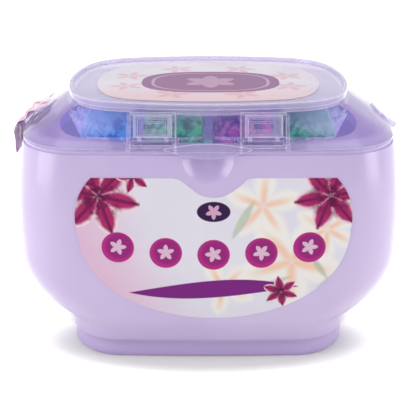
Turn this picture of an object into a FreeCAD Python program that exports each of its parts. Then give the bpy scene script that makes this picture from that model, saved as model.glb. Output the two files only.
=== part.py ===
import FreeCAD, Part
import math
import os

from FreeCAD import Vector

# Laundry pod tub: lilac bowl on a foot, deck collar with an oval mouth, clear hinged lid with press latches.
# Millimetres. The origin is at the centre of the underside, +Z is up and the front faces -Y.

# Tub
tub_half_width = 82.8
tub_half_depth = 57.1
tub_wall = 2.0
floor_thickness = 2.4
rim_height = 96.4
end_taper = 3.0
front_taper = 2.6
shoulder_height = 60.0
belly_height = 50.0
corner_radius = 27.0
end_bow = 6.0
front_bow = 1.6

# Foot and the crease where the bowl meets it
foot_half_width = 62.5
foot_half_depth = 44.4
foot_round = 1.4
foot_corner_radius = 22.0
foot_flare = 2.0
crease_half_width = 65.0
crease_half_depth = 48.0
end_crease_height = 19.0
front_crease_height = 10.0
foot_top_height = 7.0
bowl_curve = 2.0
base_recess = 0.8
base_ring_width = 5.0
base_pad_half_width = 16.0
base_pad_half_depth = 10.0
base_pad_corner = 5.0
base_pad_bow = 1.0

# Thumb scoop in the front of the tub
scoop_half_width = 10.0
scoop_depth = 4.0

# Collar
deck_thickness = 1.2
deck_inset = 0.7
plug_depth = 8.0
plug_wall = 1.5
fit_clearance = 0.2
mouth_half_width = 66.3
mouth_half_depth = 41.1
mouth_corner_radius = 20.0
mouth_side_bow = 14.0
mouth_long_bow = 12.0
neck_wall = 1.5
neck_depth = 4.5

# Lid
lid_gap = 0.2
lid_wall = 1.4
lid_inset = 0.3
lid_band = 1.0
roof_rise = 13.8
roof_corner_radius = 4.0
roof_side_bow = 10.3
roof_front_bow = 22.4
pocket_overlap = 0.5
plate_half_width = 60.8
plate_half_depth = 50.3
plate_corner_radius = 26.0
plate_side_bow = 13.0
plate_long_bow = 11.0
plate_height = 2.9
plate_seat = 0.6
plate_step = 1.2
plate_step_height = 1.8
plate_skin = 1.5
bead_width = 1.2
bead_height = 1.1
thumb_half_width = 17.7
thumb_reach = 3.8
thumb_root = 2.2
thumb_proud = 0.4
end_tab_half_width = 9.0
end_tab_reach = 5.6
end_tab_root = 6.5
end_tab_corner = 4.0
end_tab_proud = 1.0
tab_thickness = 2.4
tab_clearance = 0.4

# Rear hinge
hinge_spacing = 60.0
ear_width = 8.0
lug_width = 3.0
axial_clearance = 0.3
pin_radius = 1.2
pin_clearance = 0.06
knuckle_radius = 2.3
knuckle_clearance = 0.4
lug_root = 3.0
ear_thickness = 2.0

# Press latches, with sizes along the slope from its foot and across it from its face
latch_spacing = 43.8
latch_width = 15.0
latch_gap = 0.3
housing_wall = 1.2
housing_depth = 9.0
latch_start = 4.6
latch_end = 13.6
latch_thickness = 1.4
latch_proud = 0.9
frame_width = 1.6
frame_recess = 1.2
inner_frame_gap = 0.8
inner_frame_width = 0.8
inner_frame_height = 0.7
latch_pivot_along = 3.6
latch_pivot_under = 1.5
latch_pin_radius = 0.8
latch_lug_radius = 1.6
latch_lug_width = 2.4
arm_spacing = 10.8
arm_width = 1.4
arm_thickness = 1.1
arm_setback = 0.9
arm_depth = 5.0
arm_slot_clearance = 1.1
catch_reach = 0.35
catch_height = 1.2

# Labels
film_gap = 0.03
film_thickness = 0.25
label_shift = 2.2
label_half_width = 55.5
label_top = 87.4
label_bottom = 24.3
label_top_half_width = 49.0
label_side_half_width = 54.2
label_side_height = 79.7
label_dip_half_width = 17.0
label_dip_depth = 7.9
label_widest_height = 66.0
label_margin = 4.0
top_label_half_width = 48.8
top_label_half_depth = 39.4
top_label_shift = 1.9
top_label_corner_radius = 20.0
top_label_side_bow = 14.0
top_label_long_bow = 9.0

# Seal strip over the left end of the lid
seal_half_width = 9.0
seal_thickness = 0.3
seal_gap = 0.15
seal_run = 17.8
seal_bottom = 85.0
seal_lean = 1.0

# Pods
pod_length = 42.0
pod_width = 30.0
pod_thickness = 25.6
pod_crown = 0.62
pod_corner_radius = 10.0
pod_bow = 1.2
pod_gap = 0.3
pod_row_offset = 21.0
flange_reach = 1.2
flange_thickness = 0.8

# How far a cutting body runs past what it cuts
cut_margin = 1.0

deck_height = rim_height + deck_thickness
lid_foot = deck_height + lid_gap
roof_foot = lid_foot + lid_band
roof_top = roof_foot + roof_rise
plate_foot = roof_top - plate_seat
plate_top = plate_foot + plate_height
rim_half_width = tub_half_width - end_taper
rim_half_depth = tub_half_depth - front_taper
lid_half_width = rim_half_width - lid_inset
lid_half_depth = rim_half_depth - lid_inset
roof_top_half_width = plate_half_width - plate_step
roof_top_half_depth = plate_half_depth - plate_step
end_angle = math.atan2(roof_rise, lid_half_width - roof_top_half_width)
front_angle = math.atan2(roof_rise, lid_half_depth - roof_top_half_depth)
pivot_y = rim_half_depth + knuckle_clearance + knuckle_radius
pivot_z = lid_foot + ear_thickness / 2
scoop_radius = (scoop_half_width**2 + scoop_depth**2) / (2 * scoop_depth)


def blend(low, high, share):
    return low + (high - low) * share


def ease(z, low, high, power):
    """Share of the way from low to high, quick at first and level at the top."""
    share = min(max((z - low) / (high - low), 0.0), 1.0)
    return 1.0 - (1.0 - share) ** power


def arc(start, middle, end):
    return Part.Arc(start, middle, end).toShape()


def bowed_outline(half_width, half_depth, corner, side_bow, long_bow, z):
    """Closed outline with slightly bowed sides and round corners, all arcs tangent."""
    long_radius = (half_width**2 + long_bow**2) / (2 * long_bow)
    side_radius = (half_depth**2 + side_bow**2) / (2 * side_bow)
    long_centre = Vector(0, half_depth - long_radius, 0)
    side_centre = Vector(half_width - side_radius, 0, 0)
    reach_long = long_radius - corner
    reach_side = side_radius - corner
    between = side_centre - long_centre
    gap = between.Length
    along = (reach_long**2 - reach_side**2 + gap**2) / (2 * gap)
    across = math.sqrt(reach_long**2 - along**2)
    unit = between * (1 / gap)
    square = Vector(-unit.y, unit.x, 0)
    centre = long_centre + unit * along + square * across
    if centre.x < 0 or centre.y < 0:
        centre = long_centre + unit * along - square * across
    to_long = (centre - long_centre).normalize()
    to_side = (centre - side_centre).normalize()
    on_long = centre + to_long * corner
    on_side = centre + to_side * corner
    bisect = (to_long + to_side).normalize()
    mid_corner = centre + bisect * corner

    def place(point, sx, sy):
        return Vector(point.x * sx, point.y * sy, z)

    edges = [
        arc(place(on_side, 1, -1), Vector(half_width, 0, z), place(on_side, 1, 1)),
        arc(place(on_side, 1, 1), place(mid_corner, 1, 1), place(on_long, 1, 1)),
        arc(place(on_long, 1, 1), Vector(0, half_depth, z), place(on_long, -1, 1)),
        arc(place(on_long, -1, 1), place(mid_corner, -1, 1), place(on_side, -1, 1)),
        arc(place(on_side, -1, 1), Vector(-half_width, 0, z), place(on_side, -1, -1)),
        arc(place(on_side, -1, -1), place(mid_corner, -1, -1), place(on_long, -1, -1)),
        arc(place(on_long, -1, -1), Vector(0, -half_depth, z), place(on_long, 1, -1)),
        arc(place(on_long, 1, -1), place(mid_corner, 1, -1), place(on_side, 1, -1)),
    ]
    return Part.Wire(edges)


def tub_half_sizes(z):
    """Half width and half depth of the tub's outside at height z."""
    if z <= foot_top_height:
        rounding = foot_round * (1 - min(z / foot_round, 1.0)) ** 2
        return foot_half_width - rounding, foot_half_depth - rounding
    low = foot_top_height
    if z < end_crease_height:
        share = ((z - low) / (end_crease_height - low)) ** foot_flare
        half_width = blend(foot_half_width, crease_half_width, share)
    else:
        share = ease(z, end_crease_height, belly_height, bowl_curve)
        half_width = blend(crease_half_width, tub_half_width, share)
    if z < front_crease_height:
        share = ((z - low) / (front_crease_height - low)) ** foot_flare
        half_depth = blend(foot_half_depth, crease_half_depth, share)
    else:
        share = ease(z, front_crease_height, belly_height, bowl_curve)
        half_depth = blend(crease_half_depth, tub_half_depth, share)
    if z > shoulder_height:
        share = ((z - shoulder_height) / (rim_height - shoulder_height)) ** 2
        half_width -= end_taper * share
        half_depth -= front_taper * share
    return half_width, half_depth


def tub_section(z, offset):
    half_width, half_depth = tub_half_sizes(z)
    share = ease(z, foot_top_height, belly_height, 1.0)
    corner = blend(foot_corner_radius, corner_radius, share)
    return bowed_outline(half_width + offset, half_depth + offset, corner + offset, end_bow, front_bow, z)


def tub_heights():
    foot = [0.0, foot_round / 2, foot_round, foot_top_height]
    crease = [blend(foot_top_height, front_crease_height, share) for share in (0.5, 1.0)]
    crease += [blend(front_crease_height, end_crease_height, share) for share in (0.5, 1.0)]
    bowl = [blend(end_crease_height, belly_height, share) for share in (0.17, 0.34, 0.5, 0.67, 0.83, 1.0)]
    shoulder = [blend(shoulder_height, rim_height, share) for share in (0.0, 0.25, 0.5, 0.75, 1.0)]
    return foot + crease + bowl + shoulder


def tub_volume(offset, low, high):
    """Solid inside the tub's outside moved out by offset, between two heights."""
    inside = [z for z in tub_heights() if low < z < high]
    sections = [tub_section(z, offset) for z in [low] + inside + [high]]
    return Part.makeLoft(sections, True, False)


def extrude(wire, height):
    return Part.Face(wire).extrude(Vector(0, 0, height))


def block(low, high):
    size = Vector(*high) - Vector(*low)
    return Part.makeBox(size.x, size.y, size.z, Vector(*low))


def rod(radius, half_length, x, y, z):
    """Cylinder along X, centred at the point."""
    return Part.makeCylinder(radius, 2 * half_length, Vector(x - half_length, y, z), Vector(1, 0, 0))


def scoop_ball(offset):
    centre = Vector(0, -rim_half_depth + scoop_depth - scoop_radius, rim_height)
    return Part.makeSphere(scoop_radius + offset, centre)


def rim_outline(offset, z):
    corner = corner_radius + offset
    return bowed_outline(rim_half_width + offset, rim_half_depth + offset, corner, end_bow, front_bow, z)


def mouth_outline(offset, z):
    return bowed_outline(
        mouth_half_width + offset,
        mouth_half_depth + offset,
        mouth_corner_radius + offset,
        mouth_side_bow,
        mouth_long_bow,
        z,
    )


def plate_outline(offset, z):
    return bowed_outline(
        plate_half_width + offset,
        plate_half_depth + offset,
        plate_corner_radius + offset,
        plate_side_bow,
        plate_long_bow,
        z,
    )


def make_tub():
    outer = tub_volume(0.0, 0.0, rim_height)
    inner = tub_volume(-tub_wall, floor_thickness, rim_height)
    bulge = scoop_ball(tub_wall).common(inner)
    shell = outer.cut(inner).fuse(bulge).cut(scoop_ball(0.0))
    recess = extrude(tub_section(0.0, -base_ring_width), base_recess)
    pad = extrude(
        bowed_outline(
            base_pad_half_width, base_pad_half_depth, base_pad_corner, base_pad_bow, base_pad_bow, 0.0
        ),
        base_recess,
    )
    return shell.cut(recess.cut(pad)).removeSplitter()


def arm_places():
    """X positions of the catch arms, two to each latch."""
    return [
        side * latch_spacing / 2 + arm * arm_spacing / 2 for side in (-1, 1) for arm in (-1, 1)
    ]


def make_collar():
    deck = extrude(rim_outline(-deck_inset, rim_height), deck_thickness)
    plug_low = rim_height - plug_depth
    plug_inset = -tub_wall - fit_clearance
    plug = extrude(rim_outline(plug_inset, plug_low), plug_depth)
    plug = plug.cut(extrude(rim_outline(plug_inset - plug_wall, plug_low), plug_depth))
    plug = plug.cut(scoop_ball(tub_wall + fit_clearance))
    neck_low = deck_height - neck_depth
    neck = extrude(mouth_outline(neck_wall, neck_low), neck_depth)
    collar = deck.fuse([plug, neck])
    through = plug_depth + deck_thickness + 2 * cut_margin
    collar = collar.cut(extrude(mouth_outline(0.0, plug_low - cut_margin), through))
    for x in arm_places():
        half = arm_width / 2 + arm_slot_clearance
        front = tub_wall - rim_half_depth
        back = arm_y + arm_thickness / 2 + arm_slot_clearance
        low = (x - half, front, plug_low - cut_margin)
        collar = collar.cut(block(low, (x + half, back, deck_height + cut_margin)))
    for side in (-1, 1):
        for way in (-1, 1):
            off = ear_width / 2 + axial_clearance + lug_width / 2
            x = side * hinge_spacing / 2 + way * off
            low = (x - lug_width / 2, rim_half_depth - lug_root, rim_height)
            web = block(low, (x + lug_width / 2, pivot_y, deck_height))
            lug = rod(knuckle_radius, lug_width / 2, x, pivot_y, pivot_z)
            bore = rod(pin_radius + pin_clearance, lug_width, x, pivot_y, pivot_z)
            collar = collar.fuse([web, lug]).cut(bore)
    return collar.removeSplitter()


def lid_outline(inset, z):
    half_width = lid_half_width - inset
    half_depth = lid_half_depth - inset
    return bowed_outline(half_width, half_depth, corner_radius - inset, end_bow, front_bow, z)


def roof_top_outline(end_inset, front_inset, z):
    """Outline at the top of the slopes, with the tight corners that the hips run up to."""
    half_width = roof_top_half_width - end_inset
    half_depth = roof_top_half_depth - front_inset
    return bowed_outline(half_width, half_depth, roof_corner_radius, roof_side_bow, roof_front_bow, z)


def wall_inset(angle):
    """How far the inside stays in from the outside, one wall below the top of a slope."""
    return lid_wall / math.sin(angle) - lid_wall / math.tan(angle)


def on_slope(shape, x):
    """Moves a shape drawn flat, with Y up the slope and Z out of it, onto the front slope at x."""
    placed = shape.copy()
    placed.rotate(Vector(0, 0, 0), Vector(1, 0, 0), math.degrees(front_angle))
    placed.translate(Vector(x, -lid_half_depth, roof_foot))
    return placed


def on_end_slope(shape, side):
    """Moves a shape drawn flat, with Y up the slope and Z out of it, onto an end slope."""
    placed = shape.copy()
    placed.rotate(Vector(0, 0, 0), Vector(1, 0, 0), math.degrees(end_angle))
    placed.translate(Vector(0, -lid_half_width, roof_foot))
    placed.rotate(Vector(0, 0, 0), Vector(0, 0, 1), 90 * side)
    return placed


def make_thumb_tab():
    """Lens between two arcs, lying along the front slope and past its foot."""
    outer_radius = (thumb_half_width**2 + thumb_reach**2) / (2 * thumb_reach)
    inner_radius = (thumb_half_width**2 + thumb_root**2) / (2 * thumb_root)
    low = thumb_proud - tab_thickness
    up = Vector(0, 0, 1)
    outer = Part.makeCylinder(outer_radius, tab_thickness, Vector(0, outer_radius - thumb_reach, low), up)
    inner = Part.makeCylinder(inner_radius, tab_thickness, Vector(0, thumb_root - inner_radius, low), up)
    return on_slope(outer.common(inner), 0.0)


def make_end_tab(side):
    low = end_tab_proud - tab_thickness
    tab = block(
        (-end_tab_half_width, -end_tab_reach, low), (end_tab_half_width, end_tab_root, end_tab_proud)
    )
    uprights = [e for e in tab.Edges if abs(e.tangentAt(e.FirstParameter).z) > 0.9]
    tab = tab.makeFillet(end_tab_corner, uprights)
    return on_end_slope(tab, side)


def latch_window():
    half = latch_width / 2 + latch_gap
    foot = latch_pivot_along - latch_lug_radius - latch_gap
    low = (-half, foot, -housing_depth - cut_margin)
    return block(low, (half, latch_end + latch_gap, cut_margin))


def latch_housing():
    """Block that carries a latch, standing proud where the front slope curves back."""
    half = latch_width / 2 + latch_gap + housing_wall
    foot = latch_pivot_along - latch_lug_radius - latch_gap - housing_wall
    top = (roof_top - roof_foot) / math.sin(front_angle)
    return block((-half, foot, -housing_depth), (half, top, 0.0))


def make_lid():
    end_slope = math.tan(end_angle)
    knee = roof_foot - (lid_wall / math.sin(end_angle) - lid_wall) * end_slope
    ceiling = roof_top - lid_wall
    roof_sections = [
        lid_outline(0.0, lid_foot),
        lid_outline(0.0, roof_foot),
        roof_top_outline(0.0, 0.0, roof_top),
    ]
    hollow_sections = [
        lid_outline(lid_wall, lid_foot),
        lid_outline(lid_wall, knee),
        roof_top_outline(wall_inset(end_angle), wall_inset(front_angle), ceiling),
    ]
    roof = Part.makeLoft(roof_sections, True, True)
    hollow = Part.makeLoft(hollow_sections, True, True)
    under_roof = extrude(lid_outline(0.0, roof_foot), roof_rise)
    for side in (-1, 1):
        housing = on_slope(latch_housing(), side * latch_spacing / 2)
        roof = roof.fuse(housing.common(under_roof))
    lower = extrude(plate_outline(-plate_step, plate_foot), plate_step_height)
    upper = extrude(plate_outline(0.0, plate_foot + plate_step_height), plate_height - plate_step_height)
    bead = extrude(plate_outline(0.0, plate_top), bead_height)
    bead = bead.cut(extrude(plate_outline(-bead_width, plate_top), bead_height))
    pocket_low = ceiling - pocket_overlap
    pocket = extrude(roof_top_outline(lid_wall, lid_wall, pocket_low), plate_top - plate_skin - pocket_low)
    pocket = pocket.common(extrude(plate_outline(-plate_step - lid_wall, pocket_low), plate_height * 2))
    lid = roof.fuse([lower, upper, bead]).cut(hollow).cut(pocket)
    lid = lid.fuse([make_thumb_tab(), make_end_tab(-1), make_end_tab(1)])
    lid = lid.cut(extrude(rim_outline(tab_clearance, rim_height), lid_foot - rim_height))
    lid = lid.cut(tub_volume(tab_clearance, shoulder_height, rim_height))
    for side in (-1, 1):
        x = side * latch_spacing / 2
        lid = lid.cut(on_slope(latch_window(), x))
        for way in (-1, 1):
            off = way * (latch_width / 2 + latch_gap + latch_lug_width / 2)
            place = (off, latch_pivot_along, -latch_pivot_under)
            lug = rod(latch_lug_radius, latch_lug_width / 2, *place)
            bore = rod(latch_pin_radius + pin_clearance, latch_lug_width, *place)
            lid = lid.fuse(on_slope(lug, x)).cut(on_slope(bore, x))
    for side in (-1, 1):
        x = side * hinge_spacing / 2
        web = block(
            (x - ear_width / 2, lid_half_depth - lid_wall / 2, lid_foot),
            (x + ear_width / 2, pivot_y, lid_foot + ear_thickness),
        )
        knuckle = rod(knuckle_radius, ear_width / 2, x, pivot_y, pivot_z)
        pin = rod(pin_radius, ear_width / 2 + axial_clearance + lug_width, x, pivot_y, pivot_z)
        lid = lid.fuse([web, knuckle, pin])
    return lid


def latch_pivot():
    """Height and depth of the latches' pivot line."""
    point = Part.Vertex(0, latch_pivot_along, -latch_pivot_under)
    return on_slope(point, 0.0).Point


def make_latch(side):
    half = latch_width / 2
    plate = block((-half, latch_start, -latch_thickness), (half, latch_end, latch_proud))
    inset = frame_width
    floor = latch_proud - frame_recess
    plate = plate.cut(
        block((-half + inset, latch_start + inset, floor), (half - inset, latch_end - inset, latch_proud))
    )
    inset += inner_frame_gap
    ridge = block(
        (-half + inset, latch_start + inset, floor),
        (half - inset, latch_end - inset, floor + inner_frame_height),
    )
    inset += inner_frame_width
    ridge = ridge.cut(
        block(
            (-half + inset, latch_start + inset, floor),
            (half - inset, latch_end - inset, floor + inner_frame_height),
        )
    )
    latch = plate.fuse(ridge)
    for arm in (-1, 1):
        x = arm * arm_spacing / 2
        leg = block(
            (x - arm_width / 2, latch_pivot_along, -latch_thickness), (x + arm_width / 2, latch_start, 0.0)
        )
        latch = latch.fuse(leg)
    reach = half + latch_gap + latch_lug_width
    latch = latch.fuse(rod(latch_pin_radius, reach, 0.0, latch_pivot_along, -latch_pivot_under))
    latch = on_slope(latch, side * latch_spacing / 2)
    pivot = latch_pivot()
    tip = rim_height - arm_depth
    for arm in (-1, 1):
        x = side * latch_spacing / 2 + arm * arm_spacing / 2
        front = arm_y - arm_thickness / 2
        back = arm_y + arm_thickness / 2
        low = (x - arm_width / 2, front, tip)
        blade = block(low, (x + arm_width / 2, back, pivot.z + latch_pin_radius / 2))
        catch = block(
            (x - arm_width / 2, back, tip), (x + arm_width / 2, back + catch_reach, tip + catch_height)
        )
        latch = latch.fuse([blade, catch])
    return latch.removeSplitter()


def make_front_label():
    widest = Vector(label_shift + label_half_width, 0, label_widest_height)
    centre = Vector(label_shift, 0, label_widest_height)
    lower = Part.Ellipse(widest, Vector(label_shift, 0, label_bottom), centre)
    bowl = Part.ArcOfEllipse(lower, 0, math.pi).toShape()

    def corner_arc(way):
        start = Vector(label_shift + way * label_half_width, 0, label_widest_height)
        middle = Vector(label_shift + way * label_side_half_width, 0, label_side_height)
        end = Vector(label_shift + way * label_top_half_width, 0, label_top)
        return arc(start, middle, end)

    def dip_point(across, share):
        return Vector(label_shift + across * label_dip_half_width, 0, label_top - share * label_dip_depth)

    dip = Part.BSplineCurve()
    points = [(-1.0, 0.0), (-0.72, 0.2), (-0.32, 0.85), (0.0, 1.0), (0.32, 0.85), (0.72, 0.2), (1.0, 0.0)]
    level = Vector(1, 0, 0)
    dip.interpolate([dip_point(*p) for p in points], InitialTangent=level, FinalTangent=level)
    left_end = Vector(label_shift - label_top_half_width, 0, label_top)
    right_end = Vector(label_shift + label_top_half_width, 0, label_top)
    edges = [
        bowl,
        corner_arc(-1),
        Part.makeLine(left_end, dip_point(-1.0, 0.0)),
        dip.toShape(),
        Part.makeLine(dip_point(1.0, 0.0), right_end),
        corner_arc(1),
    ]
    outline = Part.Wire(Part.__sortEdges__(edges))
    outline.translate(Vector(0, -tub_half_depth - label_margin, 0))
    prism = Part.Face(outline).extrude(Vector(0, tub_half_depth / 2, 0))
    film = tub_volume(film_gap + film_thickness, 0.0, rim_height).common(prism)
    return film.cut(tub_volume(film_gap, 0.0, rim_height))


def make_top_label():
    outline = bowed_outline(
        top_label_half_width,
        top_label_half_depth,
        top_label_corner_radius,
        top_label_side_bow,
        top_label_long_bow,
        plate_top + film_gap,
    )
    outline.translate(Vector(0, -top_label_shift, 0))
    return extrude(outline, film_thickness)


def make_seal_strip():
    """Strip bent over the end tab, lying on it and then hanging beside the tub."""
    along = Vector(-math.cos(end_angle), 0, -math.sin(end_angle))
    out = Vector(-math.sin(end_angle), 0, math.cos(end_angle))
    foot = Vector(-lid_half_width, 0, roof_foot)
    lift = end_tab_proud + seal_gap
    tip = foot + along * (end_tab_reach + seal_gap) + out * lift
    top = tip - along * seal_run
    bottom = Vector(tip.x + seal_lean, 0, seal_bottom)
    down = (bottom - tip).normalize()
    side = Vector(down.z, 0, -down.x)
    outer_tip = tip + out * seal_thickness + along * seal_thickness / 2
    corners = [
        top,
        tip,
        bottom,
        bottom + side * seal_thickness,
        outer_tip,
        top + out * seal_thickness,
        top,
    ]
    face = Part.Face(Part.makePolygon(corners))
    face.translate(Vector(0, -seal_half_width, 0))
    return face.extrude(Vector(0, 2 * seal_half_width, 0))


def make_pod():
    """Film pillow lying flat, centred on the origin, with the sealed film edge round its middle."""
    sections = []
    for share in (0.0, 0.1, 0.25, 0.5, 0.75, 0.9, 1.0):
        rise = 2 * share - 1
        scale = math.sqrt(1 - (1 - pod_crown**2) * rise**2)
        sections.append(
            bowed_outline(
                (pod_length / 2 - flange_reach) * scale,
                (pod_width / 2 - flange_reach) * scale,
                pod_corner_radius * scale,
                pod_bow * scale,
                pod_bow * scale,
                rise * pod_thickness / 2,
            )
        )
    pillow = Part.makeLoft(sections, True, False)
    edge = bowed_outline(
        pod_length / 2,
        pod_width / 2,
        pod_corner_radius + flange_reach,
        pod_bow,
        pod_bow,
        -flange_thickness / 2,
    )
    return pillow.fuse(extrude(edge, flange_thickness)).removeSplitter()


def pod_places():
    """Centre and turn about Z of each pod, in as many of the four layers as fit under the lid."""
    along = pod_length + pod_gap
    across = pod_width + pod_gap
    rise = pod_thickness + pod_gap
    first = floor_thickness + pod_gap + pod_thickness / 2
    places = []
    for column in (-0.5, 0.5):
        for row in (-0.5, 0.5):
            places.append((column * along, row * across, first, 0))
    for layer, long_side in ((1, -1), (2, 1)):
        for column in (-1, 0, 1):
            places.append((column * along, long_side * pod_row_offset, first + layer * rise, 0))
        for column in (-0.5, 0.5):
            places.append((column * along, -long_side * pod_row_offset, first + layer * rise, 0))
    for column in (-1.5, -0.5, 0.5, 1.5):
        places.append((column * across, 0.0, first + 3 * rise, 90))
    ceiling = roof_top - lid_wall - pod_gap
    return [place for place in places if place[2] + pod_thickness / 2 < ceiling]


arm_y = latch_pivot().y + latch_pin_radius + arm_setback - arm_thickness / 2


def save(name, shape):
    shape.exportStep(f"parts/{name}.step")
    print(name, "solids", len(shape.Solids), "valid", shape.isValid(), "volume", round(shape.Volume, 1))


def main():
    os.makedirs("parts", exist_ok=True)
    save("tub", make_tub())
    save("collar", make_collar())
    save("lid", make_lid())
    save("latch_left", make_latch(-1))
    save("latch_right", make_latch(1))
    save("front_label", make_front_label())
    save("top_label", make_top_label())
    save("seal_sticker", make_seal_strip())
    pod = make_pod()
    for number, (x, y, z, turn) in enumerate(pod_places(), 1):
        placed = pod.copy()
        placed.rotate(Vector(0, 0, 0), Vector(0, 0, 1), turn)
        placed.translate(Vector(x, y, z))
        save(f"pod_{number:02d}", placed)
    print("hinge pivot", round(pivot_y, 3), round(pivot_z, 3))
    print("latch pivot", round(latch_pivot().y, 3), round(latch_pivot().z, 3))


main()
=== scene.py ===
import math
import bpy
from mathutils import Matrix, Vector


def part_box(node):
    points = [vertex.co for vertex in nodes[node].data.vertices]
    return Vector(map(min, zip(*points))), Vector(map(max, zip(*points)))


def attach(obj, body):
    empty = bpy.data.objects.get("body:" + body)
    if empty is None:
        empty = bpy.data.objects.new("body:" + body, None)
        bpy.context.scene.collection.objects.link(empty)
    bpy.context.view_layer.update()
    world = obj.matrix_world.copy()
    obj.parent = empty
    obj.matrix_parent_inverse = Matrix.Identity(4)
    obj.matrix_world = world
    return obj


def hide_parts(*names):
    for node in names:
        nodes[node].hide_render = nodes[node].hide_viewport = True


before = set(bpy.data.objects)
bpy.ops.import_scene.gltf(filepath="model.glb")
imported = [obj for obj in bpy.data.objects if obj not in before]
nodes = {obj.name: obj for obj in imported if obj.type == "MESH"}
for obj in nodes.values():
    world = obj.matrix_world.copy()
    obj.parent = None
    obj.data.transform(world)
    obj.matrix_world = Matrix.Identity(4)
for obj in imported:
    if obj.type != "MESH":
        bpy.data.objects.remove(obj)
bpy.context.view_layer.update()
mm = 0.001

# The camera and the room, at the photograph's viewing angle
view = {
    "targetHeight": 59 * mm,
    "distance": 411.4 * mm,
    "elevation": 20,
    "lens": 76.15,
    "shiftX": -0.0005,
    "shiftY": -0.025,
}
room = {
    "white": (1.0, 1.0, 1.0, 1),
    "fill": 0.36,  # how strongly the world lights the tub
    "floorSize": 6.0,
    "floorShade": (0.86, 0.88, 0.80, 1),
    "nearGlow": 0.05,  # what the camera adds to the floor beside the tub
    "farGlow": 1.0,  # and away from it, where it shows white
    "ringReach": (0.043, 0.056),  # the shadow close round the foot
    "frontShadow": (0.42, 0.028, 0.024, 0.040),  # and before it: flattening, place, inner and outer reach
}
lamps = {
    "leftSoftbox": {"at": (-0.70, -0.30, 0.30), "size": (0.46, 0.70), "power": 3.6},
    "rightSoftbox": {"at": (0.72, -0.27, 0.30), "size": (0.34, 0.70), "power": 3.0},
    "overhead": {"at": (0.0, 0.10, 0.85), "size": (0.90, 0.60), "power": 2.35},
    "front": {"at": (0.0, -1.10, 0.42), "size": (0.50, 0.40), "power": 0.6},
}


def linear(red, green, blue):  # a screen colour, 0 to 255, as light
    def one(value):
        share = value / 255
        return share / 12.92 if share <= 0.04045 else ((share + 0.055) / 1.055) ** 2.4
    return (one(red), one(green), one(blue), 1.0)


# Shader maths
class Wire:  # a socket that can be added, multiplied and compared
    def __init__(self, maker, socket):
        self.maker = maker
        self.socket = socket

    def math(self, operation, *others):
        return self.maker.node("ShaderNodeMath", {"operation": operation}, (self,) + others)

    def __add__(self, other):
        return self.math("ADD", other)

    def __radd__(self, other):
        return self.math("ADD", other)

    def __sub__(self, other):
        return self.math("SUBTRACT", other)

    def __rsub__(self, other):
        return self.maker.node("ShaderNodeMath", {"operation": "SUBTRACT"}, (other, self))

    def __mul__(self, other):
        return self.math("MULTIPLY", other)

    def __rmul__(self, other):
        return self.math("MULTIPLY", other)

    def __truediv__(self, other):
        return self.math("DIVIDE", other)

    def __rtruediv__(self, other):
        return self.maker.node("ShaderNodeMath", {"operation": "DIVIDE"}, (other, self))

    def __pow__(self, other):
        return self.math("POWER", other)

    def __abs__(self):
        return self.math("ABSOLUTE")

    def __neg__(self):
        return self.math("MULTIPLY", -1.0)

    def most(self, other):
        return self.math("MAXIMUM", other)

    def least(self, other):
        return self.math("MINIMUM", other)

    def ramp(self, low, high):  # 0 below low and 1 above high, eased between
        settings = {"interpolation_type": "SMOOTHSTEP"}
        return self.maker.node("ShaderNodeMapRange", settings, {"Value": self, "From Min": low, "From Max": high})


class Maker:  # one material and its nodes
    def __init__(self, name):
        self.material = bpy.data.materials.new(name)
        self.material.use_nodes = True
        self.tree = self.material.node_tree
        self.tree.nodes.clear()

    def node(self, kind, settings=None, values=None, output=0):
        made = self.tree.nodes.new(kind)
        for name, value in (settings or {}).items():
            if name == "stops":
                self.setStops(made.color_ramp, value)
            else:
                setattr(made, name, value)
        pairs = values.items() if isinstance(values, dict) else enumerate(values or ())
        for name, value in pairs:
            socket = made.inputs[name]
            if isinstance(value, Wire):
                self.tree.links.new(value.socket, socket)
            else:
                socket.default_value = value
        return Wire(self, made.outputs[output])

    def setStops(self, colourRamp, stops):
        while len(colourRamp.elements) > 1:
            colourRamp.elements.remove(colourRamp.elements[-1])
        for count, (place, colour) in enumerate(stops):
            element = colourRamp.elements[0] if count == 0 else colourRamp.elements.new(place)
            element.position = place
            element.color = colour

    def coordinates(self):
        return self.node("ShaderNodeTexCoord", output=3)

    def split(self, vector):
        made = self.node("ShaderNodeSeparateXYZ", values=(vector,))
        outputs = made.socket.node.outputs
        return Wire(self, outputs[0]), Wire(self, outputs[1]), Wire(self, outputs[2])

    def noise(self, scale, detail=2.0, roughness=0.5, vector=None, distortion=0.0):
        values = {"Vector": vector or self.coordinates(), "Scale": scale, "Detail": detail,
                  "Roughness": roughness, "Distortion": distortion}
        return self.node("ShaderNodeTexNoise", {"noise_dimensions": "3D"}, values)

    def blendColours(self, share, first, second, how="MIX"):
        settings = {"data_type": "RGBA", "blend_type": how}
        return self.node("ShaderNodeMix", settings, {0: share, 6: first, 7: second}, output=2)

    def bump(self, height, strength, distance):
        return self.node("ShaderNodeBump", values={"Height": height, "Strength": strength, "Distance": distance})

    def principled(self, values):
        return self.node("ShaderNodeBsdfPrincipled", values=values)

    def mixShader(self, share, first, second):
        return self.node("ShaderNodeMixShader", values=(share, first, second))

    def rayFlag(self, name):
        made = self.tree.nodes.new("ShaderNodeLightPath")
        return Wire(self, made.outputs[name])

    def finish(self, surface):
        output = self.tree.nodes.new("ShaderNodeOutputMaterial")
        self.tree.links.new(surface.socket, output.inputs["Surface"])
        return self.material


# Finishes
lilacFinish = {
    "pale": linear(207, 189, 231),
    "deep": linear(196, 177, 223),
    "roughness": 0.24,
    "peelScale": 900,
    "peelDepth": 0.00002,
    "paintedWallGlow": (0.080, 0.062, 0.165, 1.0),  # painted glow: emission on the inner walls, standing in for the light that comes through the wall, seen from inside
    # painted shade at the foot: the colour it darkens to towards the floor, and the height span of that darkening
    "footShadeTone": linear(184, 165, 213),
    "footTop": (0 * mm, 22 * mm),
}


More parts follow.
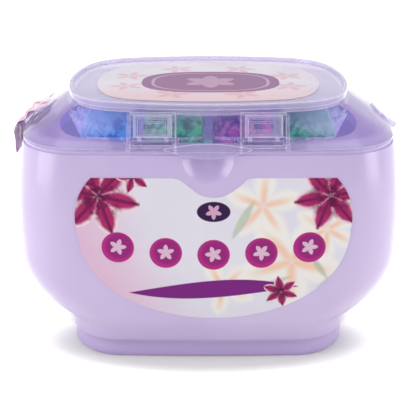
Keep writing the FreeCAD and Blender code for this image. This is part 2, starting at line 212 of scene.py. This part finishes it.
def makeLilacPlastic():
    maker = Maker("lilacPlastic")
    cloud = maker.noise(14, 3)
    colour = maker.blendColours(cloud.ramp(0.3, 0.7), lilacFinish["deep"], lilacFinish["pale"])
    peel = maker.noise(lilacFinish["peelScale"], 2)
    flow = maker.noise(60, 2)
    shine = lilacFinish["roughness"] + (flow - 0.5) * 0.10
    across, depth, height = maker.split(maker.coordinates())
    # painted shade: darker towards the floor, over the foot's lowest 22 mm
    low = 1 - height.ramp(*lilacFinish["footTop"])
    colour = maker.blendColours(low, colour, lilacFinish["footShadeTone"])
    inside = maker.node("ShaderNodeAttribute", {"attribute_name": "innerWall"}, output=2)
    values = {
        "Base Color": colour,
        # painted glow on the inner walls, in place of light coming through the plastic
        "Emission Color": maker.blendColours(inside, (0.0, 0.0, 0.0, 1.0), lilacFinish["paintedWallGlow"]),
        "Emission Strength": 1.0,
        "Roughness": shine,
        "IOR": 1.49,
        "Normal": maker.bump(peel, 0.35, lilacFinish["peelDepth"]),
        "Coat Weight": 0.15,
        "Coat Roughness": 0.12,
    }
    return maker.finish(maker.principled(values))


clearFinish = {
    "body": linear(202, 190, 231),  # the faint lilac haze in the moulding
    "edge": linear(244, 240, 252),  # painted highlight: corners are drawn lighter, standing in for the light that clear edges catch
    "edgeRadius": 0.45 * mm,
    "edgeShow": 0.48,
    "through": linear(245, 240, 252),
    "haze": {"clearPlastic": 0.030, "latchPlastic": 0.10},  # how much of it hides what is behind, face on
    "edgeHaze": 0.60,  # and at a glancing angle
    "roughness": 0.07,
    "mirror": 0.018,
    "edgeMirror": 0.24,
    "plateFoot": (110.9 * mm, 111.7 * mm),  # the raised plate is cloudier from here up
    "plateHaze": 0.34,
    "slopeFoot": (100.2 * mm, 101.8 * mm),  # and the slope from here down
    "slopeHaze": 0.24,
    "bars": ((31.6 * mm, 1.1 * mm), (13.0 * mm, 0.6 * mm)),  # the uprights beside each latch
    "barHaze": 0.26,
    "latchMiddle": (22.2 * mm, 107.5 * mm),
    "latchWindow": (6.3 * mm, 3.3 * mm),  # clear inside this, cloudy in the frame round it
    "latchFrameHaze": 0.32,
}


def makeClearPlastic(name):
    maker = Maker(name)
    flow = maker.noise(35, 3)
    ripple = maker.noise(90, 2)
    normal = maker.bump(ripple, 0.25, 0.00006)
    glance = maker.node("ShaderNodeLayerWeight", values={"Blend": 0.5, "Normal": normal}, output=1)
    rounded = maker.node("ShaderNodeBevel", {"samples": 4}, {"Radius": clearFinish["edgeRadius"]})
    flat = maker.node("ShaderNodeNewGeometry", output=1)
    turn = maker.node("ShaderNodeVectorMath", {"operation": "DOT_PRODUCT"}, (rounded, flat), output=1)
    # painted highlight: the rounded edges are drawn lighter and cloudier
    paintedEdgeHighlight = (1 - turn).ramp(0.01, 0.16)
    haze = clearFinish["haze"][name] + (glance ** 3.0) * clearFinish["edgeHaze"] + (flow - 0.5) * 0.04
    haze = haze + paintedEdgeHighlight * clearFinish["edgeShow"]
    across, depth, height = maker.split(maker.coordinates())
    if name == "latchPlastic":
        middle, window = clearFinish["latchMiddle"], clearFinish["latchWindow"]
        off = (abs(abs(across) - middle[0]) / window[0]).most(abs(height - middle[1]) / window[1])
        haze = haze + off.ramp(0.96, 1.02) * clearFinish["latchFrameHaze"]
    else:
        plate = height.ramp(*clearFinish["plateFoot"])
        haze = haze + plate * clearFinish["plateHaze"]
        haze = haze + (1 - height.ramp(*clearFinish["slopeFoot"])) * clearFinish["slopeHaze"]
        for middle, half in clearFinish["bars"]:
            upright = 1 - (abs(abs(across) - middle) / half).ramp(0.85, 1.0)
            haze = haze + upright * (1 - plate) * (depth * -1000).ramp(30.0, 36.0) * clearFinish["barHaze"]
    body = maker.principled({
        "Base Color": maker.blendColours(paintedEdgeHighlight, clearFinish["body"], clearFinish["edge"]),
        "Roughness": clearFinish["roughness"] + flow.ramp(0.3, 0.8) * 0.10,
        "Normal": normal,
        "Coat Weight": 0.5,
        "Coat Roughness": 0.05,
    })
    through = maker.node("ShaderNodeBsdfTransparent", values={"Color": clearFinish["through"]})
    film = maker.mixShader(haze, through, body)
    gloss = maker.node("ShaderNodeBsdfGlossy", values={"Roughness": clearFinish["roughness"], "Normal": normal})
    mirror = clearFinish["mirror"] + (glance ** 5.0) * clearFinish["edgeMirror"]
    return maker.finish(maker.mixShader(mirror, film, gloss))


# milkAndSheen: a pale tone, partly painted sheen on each pod's top and partly random milky swirls
podFinishes = {
    "pod_blue": {"deep": linear(0, 112, 200), "bright": linear(60, 190, 250), "milkAndSheen": linear(166, 206, 244)},
    "pod_green": {"deep": linear(0, 120, 116), "bright": linear(30, 214, 138), "milkAndSheen": linear(168, 206, 208)},
    "pod_purple": {"deep": linear(78, 44, 146), "bright": linear(200, 80, 186), "milkAndSheen": linear(150, 136, 210)},
}
palerFrom = 44 * mm  # how far from the middle of the tub the pods start to look paler


def makePodLiquid(slotName):
    maker = Maker(slotName + "Liquid")
    finish = podFinishes[slotName]
    place = maker.node("ShaderNodeAttribute", {"attribute_name": "pouchPlace"}, output=1)
    along, across, up = maker.split(place)
    shift = maker.noise(22, 1)
    swirl = maker.noise(2.2, 3, vector=place, distortion=1.4)
    middle, depth, height = maker.split(maker.coordinates())
    outward = ((abs(middle) - palerFrom) / 0.026).most(-0.40).least(0.5)  # paler towards the tub's ends
    # paler towards the top of each pod: painted sheen; the swirls and noise vary the pale share at random
    level = up + outward * 0.9 + (swirl - 0.5) * 0.9 + (shift - 0.5) * 0.6
    colour = maker.blendColours(swirl.ramp(0.42, 0.62), finish["deep"], finish["bright"])
    colour = maker.blendColours(level.ramp(-0.05, 0.75) * 0.8, colour, finish["milkAndSheen"])
    crease = maker.noise(5.5, 4, vector=place, distortion=0.8)
    values = {
        "Base Color": colour,
        "Roughness": 0.09 + crease.ramp(0.3, 0.8) * 0.14,
        "IOR": 1.38,
        # painted glow: the pods give off light of their own colour, standing in for light through the gel
        "Emission Color": colour,
        "Emission Strength": 0.28,
        "Coat Weight": 0.35,
        "Coat Roughness": 0.06,
        "Normal": maker.bump(crease, 0.5, 0.0006),
    }
    return maker.finish(maker.principled(values))


def makePodFilm():  # the clear film edge round each pod
    maker = Maker("podFilm")
    crease = maker.noise(260, 3, distortion=0.5)
    body = maker.principled({
        "Base Color": linear(222, 224, 240),
        # painted glow: the film gives off a little light of its own, so it shows whitish in shade
        "Emission Color": linear(206, 206, 236),
        "Emission Strength": 0.32,
        "Roughness": 0.12 + crease * 0.1,
        "Coat Weight": 0.6,
        "Normal": maker.bump(crease, 0.5, 0.0003),
    })
    through = maker.node("ShaderNodeBsdfTransparent", values={"Color": linear(246, 246, 252)})
    return maker.finish(maker.mixShader(0.42 + crease.ramp(0.45, 0.65) * 0.45, through, body))


class Print:  # a flat print, painted one motif over another in millimetres on the piece
    def __init__(self, name, upAxis):
        self.maker = Maker(name)
        across, depth, height = self.maker.split(self.maker.coordinates())
        self.x = across * 1000
        self.z = (height if upAxis == "Z" else depth) * 1000
        self.colour = None

    def paint(self, mask, colour):
        self.colour = self.maker.blendColours(mask, self.colour, colour)

    def turned(self, centre, turn):
        away = self.x - centre[0]
        rise = self.z - centre[1]
        sine, cosine = math.sin(math.radians(turn)), math.cos(math.radians(turn))
        return away * cosine + rise * sine, rise * cosine - away * sine

    def oval(self, centre, half, soft, turn=0, power=2.0):
        along, across = self.turned(centre, turn)
        reach = (abs(along / half[0]) ** power + abs(across / half[1]) ** power) ** (1 / power)
        return ((1 - reach) * min(half)).ramp(0.0, soft), reach

    def leaf(self, centre, length, width, turn, soft):
        along, across = self.turned(centre, turn)
        room = width * (1 - (along / length) ** 2.0) - abs(across)
        return room.ramp(0.0, soft)

    def blossom(self, centre, radius, petals, turn, soft, width=0.30):  # narrow pointed petals
        along, across = self.turned(centre, turn)
        reach = (along * along + across * across) ** 0.5
        angle = across.math("ARCTAN2", along)
        fold = ((angle * (petals / math.tau)).math("FRACT") - 0.5) * (math.tau / petals)
        way = reach * fold.math("COSINE") / radius
        side = abs(reach * fold.math("SINE")) / radius
        room = width * (4 * way * (1 - way)).most(0.0) ** 0.65 - side
        return (room * radius).ramp(0.0, soft), room, way, side

    def finish(self, roughness, coat, gloss=0.5):
        maker = self.maker
        fine = maker.noise(900, 2)
        wave = maker.noise(30, 2)
        return maker.finish(maker.principled({
            "Base Color": self.colour,
            "Roughness": roughness + (wave - 0.5) * 0.08,
            "Specular IOR Level": gloss,
            "Coat Weight": coat,
            "Coat Roughness": 0.15,
            "Normal": maker.bump(fine, 0.15, 0.00002),
        }))


magenta = {"rim": linear(242, 214, 226), "petal": linear(172, 44, 108), "heart": linear(92, 16, 66)}


def paintBlossom(printed, centre, radius, petals, turn, tones):
    mask, room, way, side = printed.blossom(centre, radius, petals, turn, 0.3)
    printed.paint(mask, tones["rim"])
    grain = printed.maker.noise(420, 3)
    printed.paint(mask * (room + (grain - 0.5) * 0.07).ramp(0.04, 0.15), tones["petal"])
    vein = 1 - (side + (grain - 0.5) * 0.03).ramp(0.01, 0.07)
    shade = 1 - way.ramp(0.15, 0.75)
    printed.paint(mask * (vein * 0.8).most(shade * grain.ramp(0.35, 0.60)), tones["heart"])


frontPrint = {
    "ground": linear(226, 222, 238),
    "glow": linear(226, 178, 212),
    "badge": linear(150, 38, 122),
    "badgeLight": linear(184, 44, 134),
    "ribbon": linear(122, 34, 128),
    "plum": linear(46, 22, 66),
    "peach": linear(244, 196, 168),
    "petalWhite": linear(243, 238, 236),
    "leafGreen": linear(156, 178, 150),
    "badgeRow": 55.0,
    "badgeRadius": 6.8,
    "badgeSpacing": 19.5,
    "middle": 2.2,
}


def makeFrontPrint():
    tones = frontPrint
    printed = Print("frontPrint", "Z")
    maker = printed.maker
    cloud = maker.noise(28, 3)
    printed.colour = maker.blendColours(cloud.ramp(0.35, 0.75) * 0.5, tones["ground"], linear(236, 232, 244))
    left = (printed.x * -1.0 - printed.z * 0.45).ramp(-14.0, 30.0)
    printed.paint(left * 0.85, tones["glow"])
    softFlowers = (((34, 52), 24, 5, 20), ((22, 76), 17, 5, 50), ((48, 66), 15, 6, 0), ((6, 40), 15, 5, 10))
    for centre, radius, petals, turn in softFlowers:
        mask, room, way, side = printed.blossom(centre, radius, petals, turn, 3.5, 0.36)
        printed.paint(mask * 0.9, tones["petalWhite"])
        printed.paint(mask * (1 - side.ramp(0.0, 0.14)) * (1 - way.ramp(0.3, 0.9)) * 0.85, tones["peach"])
    leaves = (((14, 70), 11, 2.6, 62), ((45, 50), 10, 2.0, -55), ((27, 42), 9, 2.2, 25), ((50, 44), 8, 1.8, 40))
    for centre, length, width, turn in leaves:
        printed.paint(printed.leaf(centre, length, width, turn, 1.6) * 0.6, tones["leafGreen"])
    paintBlossom(printed, (-44, 80), 17, 6, 18, magenta)
    paintBlossom(printed, (49, 80), 15, 6, 40, magenta)
    paintBlossom(printed, (-30, 88), 7, 5, 0, magenta)
    for count in range(-2, 3):
        centre = (tones["middle"] + count * tones["badgeSpacing"], tones["badgeRow"] + 0.8 * count * count)
        mask, reach = printed.oval(centre, (tones["badgeRadius"], tones["badgeRadius"]), 0.3)
        printed.paint(mask, tones["badgeLight"])
        inner, reach = printed.oval((centre[0] + 0.4, centre[1] + 0.4), (6.2, 6.2), 1.6)
        printed.paint(inner, tones["badge"])
        sprig = printed.blossom((centre[0], centre[1] + 0.2), 3.6, 5, 18 * count, 0.3)[0]
        printed.paint(sprig * 0.8, linear(236, 206, 230))
    sway = (printed.x * 0.055).math("SINE") * 1.6
    taper = 1 - ((printed.x - tones["middle"]) / 36.0) ** 2.0
    ribbon = (4.3 * taper - abs(printed.z - 39.0 - sway)).ramp(0.0, 0.35)
    printed.paint(ribbon, tones["ribbon"])
    paintBlossom(printed, (30, 38), 7.5, 6, 10, magenta)
    plate, reach = printed.oval((tones["middle"], 73.6), (7.0, 4.4), 0.3)
    printed.paint(plate, tones["plum"])
    sprig = printed.blossom((tones["middle"], 73.6), 3.4, 5, 18, 0.3)[0]
    printed.paint(sprig * 0.85, tones["glow"])
    return printed.finish(0.42, 0.0, 0.12)


topPrint = {
    "ground": linear(222, 214, 228),
    "blush": linear(230, 200, 208),
    "field": linear(150, 108, 148),
    "motif": linear(214, 92, 112),
    "middleY": -3.5,
}


def makeTopPrint():
    tones = topPrint
    printed = Print("topPrint", "Y")
    maker = printed.maker
    cloud = maker.noise(30, 3)
    printed.colour = maker.blendColours(cloud.ramp(0.35, 0.7), tones["ground"], linear(230, 226, 236))
    near = (printed.z * -1.0).ramp(4.0, 40.0)
    printed.paint(near * 0.9, tones["blush"])
    for count in range(8):
        angle = math.radians(count * 45 + 22)
        centre = (38 * math.cos(angle), tones["middleY"] + 27 * math.sin(angle))
        mask = printed.blossom(centre, 8.5, 5, count * 37, 2.0)[0]
        printed.paint(mask * 0.35, tones["motif"])
    field, reach = printed.oval((1.0, tones["middleY"] - 1.5), (30.5, 21), 0.4, power=2.6)
    printed.paint(field, tones["field"])
    ring = reach.ramp(0.80, 0.82) * (1 - reach.ramp(0.84, 0.86))
    printed.paint(ring * field * 0.6, linear(222, 200, 222))
    mask = printed.blossom((1.0, tones["middleY"] - 1.5), 12, 6, 0, 0.5)[0]
    printed.paint(mask * 0.55, linear(214, 180, 206))
    return printed.finish(0.45, 0.0, 0.15)


def makeSealPrint():
    printed = Print("sealPrint", "Z")
    maker = printed.maker
    cloud = maker.noise(120, 3, distortion=0.8)
    printed.colour = maker.blendColours(cloud.ramp(0.35, 0.6), linear(230, 170, 208), linear(242, 206, 230))
    across, depth, height = maker.split(maker.coordinates())
    belly = 1 - (abs(depth * 1000 + 1.5) / 7.5).ramp(0.8, 1.0)
    streak = maker.noise(95, 2, distortion=1.5)
    printed.paint(streak.ramp(0.52, 0.58) * belly * 0.8, linear(168, 104, 142))
    # painted glints: white specks standing in for highlights on the creased film
    glint = maker.noise(210, 2, distortion=0.6)
    printed.paint(glint.ramp(0.54, 0.60) * belly, linear(250, 246, 252))
    # painted shadow: dark purple along the strip's low front edge, where it shades the lid
    low = (1 - printed.z.ramp(90.0, 98.0)) * (1 - (depth * 1000).ramp(-14.4, -11.0))
    printed.paint(low * 0.7, linear(160, 84, 150))
    return printed.finish(0.32, 0.15, 0.3)


finishes = {
    "lilac_plastic": makeLilacPlastic(),
    "clear_plastic": makeClearPlastic("clearPlastic"),
    "printed_label": makeFrontPrint(),
    "seal_film": makeSealPrint(),
    "pod_blue": makePodLiquid("pod_blue"),
    "pod_green": makePodLiquid("pod_green"),
    "pod_purple": makePodLiquid("pod_purple"),
}
topPrintFinish = makeTopPrint()
podFilmFinish = makePodFilm()
latchFinish = makeClearPlastic("latchPlastic")
print("finishes made")


def slotOf(nodeName):
    for slotName in finishes:
        if nodes[nodeName].data.materials[0].name.startswith(slotName):
            return slotName
    return "lilac_plastic"


def select(*pieces):
    bpy.ops.object.select_all(action="DESELECT")
    for piece in pieces:
        piece.select_set(True)
    bpy.context.view_layer.objects.active = pieces[-1]


def smoothCopy(nodeName, pieceName, body, angle=32):  # the same shape, welded and shaded smooth
    piece = bpy.data.objects.new(pieceName, nodes[nodeName].data.copy())
    bpy.context.scene.collection.objects.link(piece)
    slotName = slotOf(nodeName)
    piece.data.materials.clear()
    piece.data.materials.append(finishes[slotName])
    select(piece)
    bpy.ops.object.mode_set(mode="EDIT")
    bpy.ops.mesh.select_all(action="SELECT")
    bpy.ops.mesh.remove_doubles(threshold=0.000002)
    bpy.ops.object.mode_set(mode="OBJECT")
    bpy.ops.mesh.customdata_custom_splitnormals_clear()
    bpy.ops.object.shade_smooth_by_angle(angle=math.radians(angle))
    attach(piece, body)
    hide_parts(nodeName)
    return piece


def markInnerWall(piece):  # the faces that look towards the middle of the tub
    mark = piece.data.attributes.new("innerWall", "FLOAT", "FACE")
    for face, item in zip(piece.data.polygons, mark.data):
        inward = -(face.normal.x * face.center.x + face.normal.y * face.center.y)
        floor = face.normal.z > 0.5 and face.center.z < 0.02
        item.value = 1.0 if inward > 0.3 * math.hypot(face.center.x, face.center.y) or floor else 0.0


markInnerWall(smoothCopy("tub", "tubShell", "tub"))
markInnerWall(smoothCopy("collar", "collarRing", "tub"))
smoothCopy("lid", "clearLid", "lid")
for side in ("left", "right"):
    latch = smoothCopy(f"latch_{side}", f"{side}PressLatch", f"{side}_latch")
    latch.data.materials[0] = latchFinish
smoothCopy("front_label", "frontLabel", "tub")
topLabel = smoothCopy("top_label", "topLabel", "lid")
topLabel.data.materials[0] = topPrintFinish
print("plastic shells made")


def inEditMode(piece, chosen=None):  # opens the mesh with the chosen faces selected, or all of it
    select(piece)
    bpy.ops.object.mode_set(mode="EDIT")
    bpy.ops.mesh.select_mode(type="FACE")
    bpy.ops.mesh.select_all(action="SELECT" if chosen is None else "DESELECT")
    if chosen is not None:
        bpy.ops.object.mode_set(mode="OBJECT")
        for face in piece.data.polygons:
            face.select = chosen(face)
        bpy.ops.object.mode_set(mode="EDIT")


def applyModifier(piece, kind, name, **settings):
    modifier = piece.modifiers.new(name, kind)
    for key, value in settings.items():
        setattr(modifier, key, value)
    select(piece)
    bpy.ops.object.modifier_apply(modifier=modifier.name)


pouch = {
    "half": (21.0 * mm, 15.0 * mm, 12.8 * mm),
    "cuts": 6,
    "roundness": 0.28,
    "crown": 0.76,  # how wide the top is, as a share of the middle
    "flatSides": 0.72,
    "filmReach": 0.7 * mm,
    "filmThickness": 0.35,  # share of the middle row's height that the film keeps
    "wrinkle": 0.7 * mm,
}


def makePouch():  # one pod, lying flat at the origin
    bpy.ops.object.select_all(action="DESELECT")
    bpy.ops.mesh.primitive_cube_add(size=1)
    piece = bpy.context.object
    inEditMode(piece)
    bpy.ops.mesh.subdivide(number_cuts=pouch["cuts"])
    bpy.ops.object.mode_set(mode="OBJECT")
    applyModifier(piece, "CAST", "round", cast_type="SPHERE", factor=pouch["roundness"])
    tallest = max(v.co.z for v in piece.data.vertices)
    widest = max(v.co.y for v in piece.data.vertices)
    for vertex in piece.data.vertices:  # neighbours press the long sides flat
        vertex.co.y = math.copysign(widest * abs(vertex.co.y / widest) ** pouch["flatSides"], vertex.co.y)
        squeeze = math.sqrt(1 - (1 - pouch["crown"] ** 2) * abs(vertex.co.z / tallest) ** 3.2)
        vertex.co.x *= squeeze
        vertex.co.y *= squeeze
    reach = max(v.co.x for v in piece.data.vertices)
    body = [pouch["half"][0] - pouch["filmReach"], pouch["half"][1] - pouch["filmReach"], pouch["half"][2]]
    piece.scale = [size / reach for size in body]
    bpy.ops.object.transform_apply(location=False, rotation=False, scale=True)
    middle = pouch["half"][2] / (pouch["cuts"] + 1)
    inEditMode(piece, lambda face: abs(face.center.z) < middle * 0.5 and abs(face.normal.z) < 0.5)
    fatten = {"value": -pouch["filmReach"]}
    bpy.ops.mesh.extrude_region_shrink_fatten(TRANSFORM_OT_shrink_fatten=fatten)
    bpy.ops.transform.resize(value=(1, 1, pouch["filmThickness"]))
    bpy.ops.object.mode_set(mode="OBJECT")
    piece.data.materials.append(None)
    piece.data.materials.append(podFilmFinish)
    for face in piece.data.polygons:
        face.material_index = 1 if face.select else 0
    applyModifier(piece, "SUBSURF", "smooth", levels=2, render_levels=2)
    creases = bpy.data.textures.new("filmCreases", "CLOUDS")
    creases.noise_scale = 0.012
    creases.noise_depth = 2
    applyModifier(piece, "DISPLACE", "creases", texture=creases, strength=pouch["wrinkle"], mid_level=1.0,
                  texture_coords="LOCAL")
    for face in piece.data.polygons:
        face.use_smooth = True
    local = piece.data.attributes.new("pouchPlace", "FLOAT_VECTOR", "POINT")
    for vertex, item in zip(piece.data.vertices, local.data):
        item.vector = [vertex.co[axis] / pouch["half"][axis] for axis in range(3)]
    return piece


frill = {
    "pods": {"pod_15": -1, "pod_18": 1},  # the top layer's end pods show an empty fold of film
    "drawIn": 0.26,  # how far the liquid draws in on that side
    "lean": 0.28,  # and how much further at its top and foot
    "inner": (9.8 * mm, 17.4 * mm),
    "outer": (16.4 * mm, 19.6 * mm),
    "foot": -6.5 * mm,
    "rise": 13.5 * mm,
    "folds": 7,
    "foldDepth": 0.8 * mm,
    "steps": (84, 10),
    "thickness": 0.12 * mm,
    "sweep": (-82, 62),  # degrees round the end, from the front corner
}


def addFrill(piece, centre, side):
    for vertex in piece.data.vertices:
        out = (vertex.co.x - centre.x) * side
        if out > 0:
            slope = ((vertex.co.z - centre.z) / pouch["half"][2]) ** 2
            share = frill["drawIn"] * out / pouch["half"][1] + frill["lean"] * slope
            vertex.co.x -= side * out * share
    bpy.ops.object.select_all(action="DESELECT")
    steps = frill["steps"]
    bpy.ops.mesh.primitive_grid_add(x_subdivisions=steps[0], y_subdivisions=steps[1], size=2)
    sheet = bpy.context.object
    start, end = frill["sweep"]
    for vertex in sheet.data.vertices:
        along, out = (vertex.co.x + 1) / 2, (vertex.co.y + 1) / 2
        angle = math.radians(start + (end - start) * along)
        wave = math.sin(along * math.tau * frill["folds"]) + 0.5 * math.sin(along * 61 + out * 3)
        swell = max(math.sin(math.pi * along), 0.0) ** 0.5
        spread = out**0.7 * swell
        ripple = frill["foldDepth"] * wave * out * swell
        reach = [near + (far - near) * spread + ripple for near, far in zip(frill["inner"], frill["outer"])]
        rise = frill["foot"] + frill["rise"] * out * (1 + 0.06 * wave)
        vertex.co = (
            centre.x + side * reach[0] * math.cos(angle),
            centre.y + reach[1] * math.sin(angle),
            centre.z + rise,
        )
    applyModifier(sheet, "SOLIDIFY", "film", thickness=frill["thickness"], offset=0)
    sheet.data.materials.append(podFilmFinish)
    for face in sheet.data.polygons:
        face.use_smooth = True
    select(sheet, piece)
    bpy.ops.object.join()


def placePouches(pattern):
    for count in range(1, 19):
        nodeName = f"pod_{count:02d}"
        low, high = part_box(nodeName)
        piece = bpy.data.objects.new(f"podPouch{count:02d}", pattern.data.copy())
        bpy.context.scene.collection.objects.link(piece)
        select(piece)
        if high.y - low.y > high.x - low.x:
            piece.rotation_euler.z = math.pi / 2
        piece.location = (low + high) / 2
        bpy.ops.object.transform_apply(location=True, rotation=True, scale=False)
        if nodeName in frill["pods"]:
            addFrill(piece, (low + high) / 2, frill["pods"][nodeName])
        slotName = slotOf(nodeName)
        piece.data.materials[0] = finishes[slotName]
        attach(piece, "tub")
        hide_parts(nodeName)
    bpy.data.objects.remove(pattern)


placePouches(makePouch())
print("pods made")

seal = {
    "top": (-70.3 * mm, 106.7 * mm),
    "tip": (-84.9 * mm, 96.9 * mm),
    "bottom": (-84.2 * mm, 85.3 * mm),
    "halfWidth": 12.5 * mm,
    "middle": -2.5 * mm,
    "bend": 2.6 * mm,
    "ripple": 1.1 * mm,
    "thickness": 0.12 * mm,
    "steps": (46, 26),
}


def sealPoint(share, across):  # from the top of the strip down its length, and from front to back
    top, tip, bottom = Vector(seal["top"]), Vector(seal["tip"]), Vector(seal["bottom"])
    onSlope, hanging = (tip - top).length, (bottom - tip).length
    run = share * (onSlope + hanging)
    slopeWay, hangWay = (tip - top).normalized(), (bottom - tip).normalized()
    turned = min(max((run - onSlope + seal["bend"]) / (2 * seal["bend"]), 0.0), 1.0)
    if run < onSlope - seal["bend"]:
        place = top + slopeWay * run
    elif run > onSlope + seal["bend"]:
        place = tip + hangWay * (run - onSlope)
    else:
        first = tip - slopeWay * seal["bend"]
        last = tip + hangWay * seal["bend"]
        place = first * (1 - turned) ** 2 + tip * 2 * turned * (1 - turned) + last * turned**2
    way = slopeWay.lerp(hangWay, turned).normalized()
    out = Vector((way.y, -way.x))
    if out.x > 0:
        out = -out
    wave = math.sin(share * 17 + across * 2.1) * 0.5 + math.sin(share * 31 - across * 4.4 + 1.2) * 0.35
    wave += math.sin(across * 7.5 + share * 9) * 0.25
    lift = seal["ripple"] * (1 + wave) * (0.2 + 0.8 * math.sin(math.pi * min(share * 1.6, 1.0)))
    place = place + out * lift
    return (place.x, seal["middle"] + across * seal["halfWidth"], place.y)


def makeSeal():
    bpy.ops.object.select_all(action="DESELECT")
    steps = seal["steps"]
    bpy.ops.mesh.primitive_grid_add(x_subdivisions=steps[0], y_subdivisions=steps[1], size=2)
    piece = bpy.context.object
    piece.name = "sealSticker"
    for vertex in piece.data.vertices:
        vertex.co = sealPoint((vertex.co.x + 1) / 2, vertex.co.y)
    applyModifier(piece, "SOLIDIFY", "film", thickness=seal["thickness"], offset=0)
    for face in piece.data.polygons:
        face.use_smooth = True
    piece.data.materials.append(finishes["seal_film"])
    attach(piece, "lid")
    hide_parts("seal_sticker")


makeSeal()
print("seal strip made")


# The floor, the world, the lamps and the camera
def makeFloor():
    bpy.ops.mesh.primitive_plane_add(size=room["floorSize"], location=(0, 0, 0))
    floor = bpy.context.object
    floor.name = "paleFloor"
    maker = Maker("paleFloor")
    grain = maker.noise(40, 2)
    shade = maker.blendColours(grain * 0.2, room["floorShade"], room["white"])
    matt = maker.node("ShaderNodeBsdfDiffuse", values={"Color": shade})
    across, depth, height = maker.split(maker.coordinates())
    # painted shadow: the glow the camera sees is cut down close round the foot and in an ellipse before it
    ring = (((across * 0.72) ** 2.0 + depth * depth) ** 0.5).ramp(*room["ringReach"])
    flat, place, inner, outer = room["frontShadow"]
    front = (((across * flat) ** 2.0 + (depth + place) ** 2.0) ** 0.5).ramp(inner, outer)
    spread = ring.least(front) * (room["farGlow"] - room["nearGlow"]) + room["nearGlow"]
    glow = maker.node("ShaderNodeEmission", values={"Strength": spread})
    nothing = maker.node("ShaderNodeEmission", values={"Strength": 0.0})
    seen = maker.rayFlag("Is Camera Ray").most(maker.rayFlag("Is Transmission Ray"))
    seen = seen.most(maker.rayFlag("Is Glossy Ray"))
    lit = maker.mixShader(seen, nothing, glow)
    floor.data.materials.append(maker.finish(maker.node("ShaderNodeAddShader", values=(matt, lit))))


def makeWorld():
    world = bpy.data.worlds.new("studio")
    bpy.context.scene.world = world
    world.use_nodes = True
    tree = world.node_tree
    tree.nodes.clear()
    path = tree.nodes.new("ShaderNodeLightPath")
    seen = tree.nodes.new("ShaderNodeMath")
    seen.operation = "MAXIMUM"
    tree.links.new(path.outputs["Is Camera Ray"], seen.inputs[0])
    tree.links.new(path.outputs["Is Transmission Ray"], seen.inputs[1])
    mirrored = tree.nodes.new("ShaderNodeMath")
    mirrored.operation = "MAXIMUM"
    tree.links.new(seen.outputs[0], mirrored.inputs[0])
    tree.links.new(path.outputs["Is Glossy Ray"], mirrored.inputs[1])
    level = tree.nodes.new("ShaderNodeMapRange")
    level.inputs["To Min"].default_value = room["fill"]
    level.inputs["To Max"].default_value = 1.0
    tree.links.new(mirrored.outputs[0], level.inputs["Value"])
    back = tree.nodes.new("ShaderNodeBackground")
    back.inputs["Color"].default_value = room["white"]
    tree.links.new(level.outputs[0], back.inputs["Strength"])
    out = tree.nodes.new("ShaderNodeOutputWorld")
    tree.links.new(back.outputs[0], out.inputs["Surface"])


def makeLamps():
    aim = Vector((0, 0, view["targetHeight"]))
    for name, lamp in lamps.items():
        bpy.ops.object.light_add(type="AREA", location=lamp["at"])
        light = bpy.context.object
        light.name = name
        light.data.shape = "RECTANGLE"
        light.data.size, light.data.size_y = lamp["size"]
        light.data.energy = lamp["power"]
        light.rotation_euler = (aim - light.location).to_track_quat("-Z", "Y").to_euler()


def makeCamera():
    tilt = math.radians(view["elevation"])
    back = view["distance"] * math.cos(tilt)
    up = view["targetHeight"] + view["distance"] * math.sin(tilt)
    bpy.ops.object.camera_add(location=(0, -back, up), rotation=(math.pi / 2 - tilt, 0, 0))
    camera = bpy.context.object
    camera.data.sensor_width = 36
    camera.data.lens = view["lens"]
    camera.data.shift_x = view["shiftX"]
    camera.data.shift_y = view["shiftY"]
    camera.data.clip_start = 0.01
    bpy.context.scene.camera = camera


makeFloor()
makeWorld()
makeLamps()
makeCamera()
bpy.context.scene.view_settings.view_transform = "Standard"
print("studio made")
